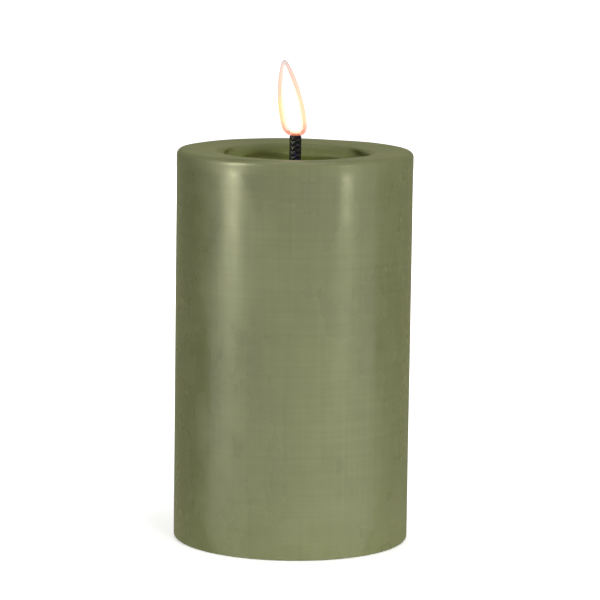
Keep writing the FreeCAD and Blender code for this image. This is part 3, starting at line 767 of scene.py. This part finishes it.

# How light the colour is: 1 plus the lines, the wide clouds, and painted light and shade by height.
shade = stretch(cast_wax, wide_clouds, 0.3, 0.7, 0.96, 1.04)
for part in (
    lines,
    # Painted light towards the foot, where light comes up from the floor, and painted shade towards the
    # top.
    stretch(cast_wax, up, 0.0, 120 * MM, 0.11, -0.08),
    stretch(cast_wax, up, 0.0, 24 * MM, 0.24, 0.0),
    # Painted light low in the dish, and painted shade near its lip.
    times(cast_wax, melt_and_dish_shade, stretch(cast_wax, up, DISH_FLOOR_Z + 1 * MM, BODY_H - 1.5 * MM, 0.30, -0.10)),
):
    shade = plus(cast_wax, shade, part)
bloom = times(cast_wax, frosted, wax_in["Bloom"])
tinted = blend_colour(cast_wax, bloom, wax_in["Colour"], wax_in["Bloom Colour"])
# Painted shade: the dish takes a deeper colour.
tinted = blend_colour(cast_wax, times(cast_wax, melt_and_dish_shade, 0.85), tinted, wax_in["Melted Colour"])
cast_wax.links.new(scaled(cast_wax, tinted, shade), wax_out["Colour"])

roughness = stretch(cast_wax, clouds, 0.35, 0.65, 0.20, 0.38)
for part in (
    stretch(cast_wax, blotches, 0.3, 0.7, -0.05, 0.07),
    stretch(cast_wax, up, BODY_H - 5 * MM, BODY_H - 2.5 * MM, 0.0, 0.16),
    times(cast_wax, melt_and_dish_shade, 0.3),
):
    roughness = plus(cast_wax, roughness, part)
cast_wax.links.new(roughness, wax_out["Roughness"])

relief = plus(cast_wax, times(cast_wax, soft_clouds, 0.7), times(cast_wax, lines, 0.08))
cast_wax.links.new(plus(cast_wax, relief, times(cast_wax, blotches, 0.09)), wax_out["Height"])
print("cast wax nodes", len(cast_wax.nodes))

# %% Material: sage wax
sage_wax, tree, shader = new_material(
    "sage_wax", IOR=1.44, Subsurface_Weight=0.25, Subsurface_Scale=3 * MM)
shader.inputs["Subsurface Radius"].default_value = (1.0, 0.9, 0.45)
use_group(tree, shader, cast_wax, 0.4 * MM, Colour=rgb(119, 123, 82), Bloom_Colour=rgb(136, 140, 103),
          Melted_Colour=rgb(96, 103, 48), Bloom=0.6, Lines=0.2)
paint(sage_wax, "wax_body")

# %% [markdown]
# ## Plastics
# Moulded plastic takes the grain of its tool: a fine matt texture, slightly uneven in gloss where
# it has been handled. The same group serves the base, its door, the knob, the collar, the window
# under it, the glue, the tie, the chips and the wires' sleeves, each with its own settings.

# %% Group: moulded plastic
moulded, plastic_in, plastic_out = new_group(
    "moulded plastic",
    {"Colour": (0.5, 0.5, 0.5, 1.0), "Unevenness": 0.06, "Grain Size": 0.4, "Polish": 0.4},
    ["Colour", "Roughness", "Height"],
)
spot = object_place(moulded)
per_metre = maths(moulded, "DIVIDE", 1000.0, plastic_in["Grain Size"])
grain = shader_node(moulded, "ShaderNodeTexNoise", {"Vector": spot, "Scale": per_metre, "Detail": 2.0})
grain = grain.outputs[0]
handled = maths(moulded, "SUBTRACT", noise(moulded, spot, 90, 4, 0.6), 0.5)
tone = plus(moulded, times(moulded, times(moulded, handled, plastic_in["Unevenness"]), 2.0), 1.0)
moulded.links.new(scaled(moulded, plastic_in["Colour"], tone), plastic_out["Colour"])
wiped = times(moulded, handled, 0.35)
grainy = times(moulded, maths(moulded, "SUBTRACT", grain, 0.5), 0.2)
rough = plus(moulded, plus(moulded, wiped, grainy), plastic_in["Polish"])
moulded.links.new(rough, plastic_out["Roughness"])
moulded.links.new(grain, plastic_out["Height"])


def plastic(name, colour, pieces, unevenness=0.06, grain=0.4, polish=0.42, depth=0.08 * MM, **plain):
    material, tree, shader = new_material(name, **plain)
    use_group(tree, shader, moulded, depth, Colour=colour, Unevenness=unevenness, Grain_Size=grain,
              Polish=polish)
    paint(material, *pieces)


# %% Materials: every plastic piece
IVORY = rgb(226, 220, 201)
plastic("base_ivory", IVORY, ["lower_housing", "upper_housing", "switch_marks"])
plastic("door_ivory", rgb(228, 222, 204), ["battery_door", "door_arrow"], grain=0.5)
plastic("knob_black", rgb(34, 34, 36), ["switch_knob"], unevenness=0.15, polish=0.5)
plastic("collar_black", rgb(24, 24, 26), ["wick_collar"], unevenness=0.2, polish=0.38)
plastic("window_red", rgb(92, 16, 22), ["ir_window"], unevenness=0.25, polish=0.16, depth=0.01 * MM)
plastic("hot_glue", rgb(226, 222, 205), ["glue_beads"], grain=1.5, polish=0.25, Subsurface_Weight=0.3)
plastic("tie_nylon", rgb(225, 225, 218), ["wire_tie"], polish=0.35)
plastic("chip_black", rgb(30, 30, 31), ["controller_chip", "ir_receiver", "chip_resistors"], grain=0.2,
        polish=0.55)
plastic("capacitor_sleeve", rgb(24, 34, 74), ["capacitor"], polish=0.25)
for colour, screen in {
    "red": (176, 30, 28), "black": (28, 28, 30), "yellow": (222, 184, 40), "white": (222, 222, 216),
    "blue": (38, 70, 160),
}.items():
    sleeves = [f"wire_{colour}"] + [name for name in (f"wire_battery_{colour}",) if name in nodes]
    plastic(f"wire_{colour}_sleeve", rgb(*screen), sleeves, unevenness=0.1, grain=0.8, polish=0.36)

# %% [markdown]
# ## The wick's thread
# Braided thread is black but not dull: each strand is a bundle of filaments. Violet glints, here and
# there, are painted into the colour. Finer noise, drawn out along the wick, roughens the strands.

# %% Material: black braid
braid, tree, shader = new_material("wick_braid", Specular_IOR_Level=0.2)
spot = object_place(tree)
threads = noise(tree, spot, (2600, 2600, 900), 3, 0.6)
painted_glints = noise(tree, spot, 900, 2, 0.5)
# Painted glints: violet patches in the black thread's colour.
thread_colour_and_glints = blend_colour(tree, stretch(tree, painted_glints, 0.5, 0.7), rgb(4, 4, 7), rgb(34, 30, 74))
tree.links.new(thread_colour_and_glints, shader.inputs["Base Color"])
tree.links.new(stretch(tree, threads, 0.3, 0.7, 0.28, 0.6), shader.inputs["Roughness"])
bump_from(tree, shader, threads, 0.1 * MM)
paint(braid, "wick_braid")

# %% [markdown]
# ## The lit flame
# The light guide is the brightest thing on the candle and reads as plain white. The wall round it
# is thin tinted plastic: part of what is behind shows through it, less so where it is seen edge
# on. It glows redder at the foot, where the plastic is thickest, yellow above that, more so on one
# side than the other, then peach, and grey at the tip.

# %% Materials: light guide, wall and lamp
def up_the_flame(tree):
    """0 at the flame's foot and 1 at its tip."""
    return stretch(tree, split(tree, object_place(tree))[2], FLAME_Z, FLAME_Z + FLAME_H)


def ramp(tree, factor, stops, interpolation="LINEAR"):
    """A colour ramp from a list of (place, colour)."""
    made = shader_node(tree, "ShaderNodeValToRGB", {0: factor})
    made.color_ramp.interpolation = interpolation
    elements = made.color_ramp.elements
    while len(elements) < len(stops):
        elements.new(0.5)
    for element, (position, colour) in zip(elements, stops):
        element.position = position
        element.color = colour
    return made.outputs[0]


guide, tree, shader = new_material("flame_light_guide", Roughness=0.4, Emission_Strength=1.7)
milky = stretch(tree, noise(tree, object_place(tree), 500, 2), 0.3, 0.7, 0.0, 0.25)
glow = blend_colour(tree, milky, rgb(255, 253, 247), rgb(255, 249, 236))
tree.links.new(glow, shader.inputs["Emission Color"])
tree.links.new(blend_colour(tree, 0.8, glow, (0, 0, 0, 1)), shader.inputs["Base Color"])
paint(guide, "flame_light_guide")

TIP_STOPS = [(0.93, rgb(214, 164, 148)), (1.0, rgb(136, 110, 108))]
wall, tree, shader = new_material("flame_wall", Roughness=0.35, Emission_Strength=0.9)
flame_up = up_the_flame(tree)
yellow_side = ramp(tree, flame_up, [
    (0.0, rgb(240, 120, 90)), (0.08, rgb(250, 150, 110)), (0.20, rgb(255, 214, 130)),
    (0.42, rgb(255, 222, 120)), (0.56, rgb(255, 198, 150)), (0.78, rgb(252, 186, 156))] + TIP_STOPS)
peach_side = ramp(tree, flame_up, [
    (0.0, rgb(240, 120, 90)), (0.09, rgb(250, 160, 122)), (0.20, rgb(255, 222, 160)),
    (0.50, rgb(255, 220, 168)), (0.66, rgb(255, 204, 168)), (0.80, rgb(250, 190, 162))] + TIP_STOPS)
side_x, _, up = split(tree, object_place(tree))
leant = times(tree, maths(tree, "SUBTRACT", up, FLAME_Z), FLAME_LEAN)
sideways = stretch(tree, plus(tree, side_x, leant), -3 * MM, 3 * MM)
tree.links.new(blend_colour(tree, sideways, yellow_side, peach_side), shader.inputs["Emission Color"])
edge_on = shader_node(tree, "ShaderNodeLayerWeight", {"Blend": 0.5}).outputs["Facing"]
tree.links.new(stretch(tree, edge_on, 0.0, 1.0, 0.2, 0.8), shader.inputs["Alpha"])
streaky = stretch(tree, noise(tree, object_place(tree), (700, 700, 120), 2), 0.3, 0.7, 0.0, 0.3)
shell_colour = blend_colour(tree, streaky, (0.10, 0.05, 0.03, 1), (0.16, 0.08, 0.05, 1))
tree.links.new(shell_colour, shader.inputs["Base Color"])
paint(wall, "flame_wall")

lamp, tree, shader = new_material("lamp_epoxy", Roughness=0.15, Emission_Strength=1.6)
lamp_glow = ramp(tree, up_the_flame(tree), [(0.0, rgb(255, 214, 176)), (0.12, rgb(255, 244, 226))])
tree.links.new(lamp_glow, shader.inputs["Emission Color"])
tree.links.new(lamp_glow, shader.inputs["Base Color"])
paint(lamp, "flame_led")

# %% [markdown]
# ## Metals
# The metal parts are stamped, drawn or plated. Each keeps faint lines from its die, and a duller
# bloom where it has been touched. One group gives both, and its inputs say how dull and how
# polished each metal is.

# %% Group: drawn metal
drawn, metal_in, metal_out = new_group(
    "drawn metal",
    {"Colour": (0.6, 0.6, 0.6, 1.0), "Dulling": 0.3, "Polish": 0.25},
    ["Colour", "Roughness", "Height"],
)
spot = object_place(drawn)
dulled = noise(drawn, spot, 240, 4, 0.6)
die_lines = noise(drawn, spot, (160, 160, 3200), 2, 0.5)
dull_mask = times(drawn, stretch(drawn, dulled, 0.4, 0.7), metal_in["Dulling"])
dull_tone = maths(drawn, "SUBTRACT", 1.0, times(drawn, dull_mask, 0.5))
drawn.links.new(scaled(drawn, metal_in["Colour"], dull_tone), metal_out["Colour"])
scuffed = plus(drawn, times(drawn, dull_mask, 0.3), times(drawn, die_lines, 0.12))
drawn.links.new(plus(drawn, scuffed, metal_in["Polish"]), metal_out["Roughness"])
drawn.links.new(die_lines, metal_out["Height"])


def metal(name, colour, pieces, dulling=0.3, polish=0.22):
    material, tree, shader = new_material(name, Metallic=1.0)
    use_group(tree, shader, drawn, 0.01 * MM, Colour=colour, Dulling=dulling, Polish=polish)
    paint(material, *pieces)


# %% Materials: every metal piece
metal("screw_steel", rgb(176, 176, 178), ["housing_screws", "board_screws", "sensor_screws"], 0.5)
metal("stem_steel", rgb(188, 188, 190), ["wick_stem", "switch_body"])
metal("spring_plate", rgb(204, 202, 198), ["coil_1", "coil_2"], 0.2, 0.16)
metal("nickel_strip", rgb(206, 200, 188), ["contact_bridge", "contact_positive", "contact_negative"], 0.25)
metal("tinned_copper", rgb(206, 204, 200), ["led_leads", "switch_pins", "timer_crystal"])
metal("solder", rgb(190, 192, 194), ["solder_joints"], 0.6, 0.3)

# %% [markdown]
# ## The cells and the boards
# A cell is a steel can in a printed sleeve. The sleeve here is plain, with one pale band at the
# raised end, so that the two cells' directions can be told. Its edges follow the length of the
# can, which lies along X. The boards are green lacquer over copper: tracks show as paler lines.

# %% Material: cells
SLEEVE_MARGIN = 0.8 * MM
NUB = 1.2 * MM
BAND_FROM, BAND_TO = 0.80, 0.86


def cell_finish(node, raised):
    """raised is the side, -1 or 1, of the terminal that stands out."""
    low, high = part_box(node)
    tip = high.x if raised > 0 else low.x
    flat = low.x if raised > 0 else high.x
    material, tree, shader = new_material(f"{node}_sleeve", Coat_Weight=0.3, Coat_Roughness=0.12)
    share = stretch(tree, split(tree, object_place(tree))[0], flat, tip)
    length = abs(tip - flat)
    sleeve_end = 1 - (NUB + SLEEVE_MARGIN) / length
    steel, sleeve, band = rgb(196, 196, 194), rgb(52, 66, 74), rgb(214, 212, 200)
    stops = [(0.0, steel), (SLEEVE_MARGIN / length, sleeve), (BAND_FROM, band), (BAND_TO, sleeve),
             (sleeve_end, steel)]
    colour = ramp(tree, share, stops, "CONSTANT")
    bare = [(place_at, (1, 1, 1, 1) if tone is steel else (0, 0, 0, 1)) for place_at, tone in stops]
    scuffs = noise(tree, object_place(tree), (60, 400, 400), 4, 0.6)
    worn = stretch(tree, scuffs, 0.3, 0.8, 1.04, 0.88)
    tree.links.new(scaled(tree, colour, worn), shader.inputs["Base Color"])
    tree.links.new(ramp(tree, share, bare, "CONSTANT"), shader.inputs["Metallic"])
    tree.links.new(stretch(tree, scuffs, 0.3, 0.7, 0.22, 0.38), shader.inputs["Roughness"])
    paint(material, node)


cell_finish("battery_1", 1)
cell_finish("battery_2", -1)

# %% Material: circuit boards
board, tree, shader = new_material("board_green", Coat_Weight=0.4, Coat_Roughness=0.15)
spot = object_place(tree)
patches = shader_node(tree, "ShaderNodeTexVoronoi", {"Vector": spot, "Scale": 420.0},
                      feature="DISTANCE_TO_EDGE")
track = stretch(tree, patches.outputs["Distance"], 0.04, 0.08, 1.0, 0.0)
lacquer = blend_colour(tree, track, rgb(18, 84, 44), rgb(44, 122, 66))
tree.links.new(lacquer, shader.inputs["Base Color"])
tree.links.new(stretch(tree, noise(tree, spot, 300, 3), 0.3, 0.7, 0.25, 0.4), shader.inputs["Roughness"])
bump_from(tree, shader, track, 0.05 * MM)
paint(board, "circuit_board", "sensor_board")

# %% [markdown]
# ## Floor, light and camera
# The candle stands on a white floor in a white room. Lamps and world are kept at a plain level,
# so that a colour renders about as it is written. The white behind comes from what the camera
# and reflections see, not from more light. From below, the floor can be seen through.

# %% Floor and world
floor = start("floor", bpy.ops.mesh.primitive_plane_add, size=8, location=(0, 0, 0))


def seen_directly(tree):
    """1 for what the camera sees, in a gloss too, and 0 for light that only falls on things."""
    rays = shader_node(tree, "ShaderNodeLightPath").outputs
    in_glass = maths(tree, "MAXIMUM", rays["Is Glossy Ray"], rays["Is Transmission Ray"])
    return maths(tree, "MAXIMUM", rays["Is Camera Ray"], in_glass)


floor_paint, tree, shader = new_material("white_floor", Roughness=0.9)
shader.inputs["Base Color"].default_value = rgb(248, 248, 248)
shader.inputs["Specular IOR Level"].default_value = 0.0
shader.inputs["Emission Color"].default_value = (1, 1, 1, 1)
LIFT_NEAR, LIFT_FAR = 0.50, 1.0
CLEAR_FROM, CLEAR_TO = 0.05, 0.16
away = shader_node(tree, "ShaderNodeVectorMath", {0: object_place(tree)}, operation="LENGTH")
lift = stretch(tree, away.outputs["Value"], CLEAR_FROM, CLEAR_TO, LIFT_NEAR, LIFT_FAR)
tree.links.new(maths(tree, "MULTIPLY", seen_directly(tree), lift), shader.inputs["Emission Strength"])
behind = shader_node(tree, "ShaderNodeNewGeometry").outputs["Backfacing"]
tree.links.new(maths(tree, "SUBTRACT", 1.0, behind), shader.inputs["Alpha"])
floor.data.materials.append(floor_paint)

# %% [markdown]
# In a white room, gloss would grey the edges of the wax. So a dark half-round card stands behind
# the candle and lies on the floor round it. Only glossy rays meet it.

# %% Card for the gloss
CARD_R = 0.085
CARD_H = 0.4
CARD_FRONT_Y = -0.03
CARD_LIFT = 0.0002
card = start("gloss_card", bpy.ops.mesh.primitive_cylinder_add, vertices=96, radius=CARD_R, depth=CARD_H,
             location=(0, 0, CARD_H / 2 + CARD_LIFT))
bpy.ops.object.transform_apply(location=True)
edit(card)
end_face(card, 1)
bpy.ops.mesh.delete(type="FACE")
bpy.ops.mesh.select_all(action="SELECT")
bpy.ops.mesh.bisect(plane_co=(0, CARD_FRONT_Y, 0), plane_no=(0, 1, 0), clear_inner=True)
bpy.ops.object.mode_set(mode="OBJECT")
for kind in ("camera", "diffuse", "transmission", "volume_scatter", "shadow"):
    setattr(card, f"visible_{kind}", False)
card_paint, tree, shader = new_material("dark_card", Roughness=1.0, Emission_Strength=0.30)
shader.inputs["Base Color"].default_value = (0, 0, 0, 1)
shader.inputs["Specular IOR Level"].default_value = 0.0
shader.inputs["Emission Color"].default_value = (1.0, 1.0, 0.6, 1)
card.data.materials.append(card_paint)

# %% World
AMBIENT = 0.25
world = bpy.data.worlds.new("studio")
bpy.context.scene.world = world
world.use_nodes = True
tree = world.node_tree
background = tree.nodes["Background"]
background.inputs["Color"].default_value = (1, 1, 1, 1)
tree.links.new(stretch(tree, seen_directly(tree), 0.0, 1.0, AMBIENT, 1.0), background.inputs["Strength"])


# %% [markdown]
# Two tall soft lamps stand to the sides, for the gloss only: the wax shows each as a vertical
# strip, the left one brighter than the right. Beside the left one, a weaker lamp lights the wall of
# wax. A key lamp lights the front and reaches into the dish, a fill lights the back, and one lamp
# overhead lights the rim.

# %% Lamps
WARM = (1.0, 1.01, 0.66)


def soft_lamp(name, azimuth, distance, middle, width, height, brightness, casts="both"):
    """
    An upright rectangular lamp that faces the candle. azimuth 0 is the camera's side, and positive
    turns to the right. casts says whether it lights surfaces, shows in their gloss, or both.
    """
    turn = math.radians(azimuth)
    bpy.ops.object.light_add(
        type="AREA", location=(distance * math.sin(turn), -distance * math.cos(turn), middle),
        rotation=(math.pi / 2, 0, turn))
    light = bpy.context.object
    light.name = name
    light.data.shape = "RECTANGLE"
    light.data.size = width
    light.data.size_y = height
    light.data.energy = brightness * math.pi * width * height
    light.data.color = WARM if casts == "gloss" else (1, 1, 1)
    light.visible_glossy = casts != "light"
    light.visible_diffuse = casts != "gloss"
    return light


for lamp_settings in (
    ("left_strip", -60, 0.6, 0.31, 0.05, 0.50, 92.0, "gloss"),
    ("left_wall", -60, 0.6, 0.26, 0.06, 0.50, 4.0, "light"),
    ("right_strip", 50, 0.8, 0.27, 0.08, 0.50, 24.0, "gloss"),
    ("key", 26, 1.1, 0.48, 0.50, 0.50, 8.6, "light"),
    ("back_fill", 180, 1.1, 0.30, 0.50, 0.50, 5.0, "light"),
):
    soft_lamp(*lamp_settings)
overhead = soft_lamp("overhead", 0, 0.0, 0.9, 0.50, 0.50, 2.6)
overhead.rotation_euler = (0, 0, 0)

# %% Camera
CAMERA_DISTANCE = 1.03
CAMERA_HEIGHT = 0.231
CAMERA_ROLL = -0.8
LENS = 196
AIM_Z = (cad_box[0][2] + cad_box[1][2]) / 2
pitch = math.atan2(CAMERA_HEIGHT - AIM_Z, CAMERA_DISTANCE)
bpy.ops.object.camera_add(location=(0, -CAMERA_DISTANCE, CAMERA_HEIGHT),
                          rotation=(math.pi / 2 - pitch, math.radians(CAMERA_ROLL), 0))
camera = bpy.context.object
camera.data.lens = LENS
camera.data.sensor_width = 36
bpy.context.scene.camera = camera
bpy.context.scene.view_settings.view_transform = "Standard"
print("camera looks down", round(math.degrees(pitch), 2), "degrees")
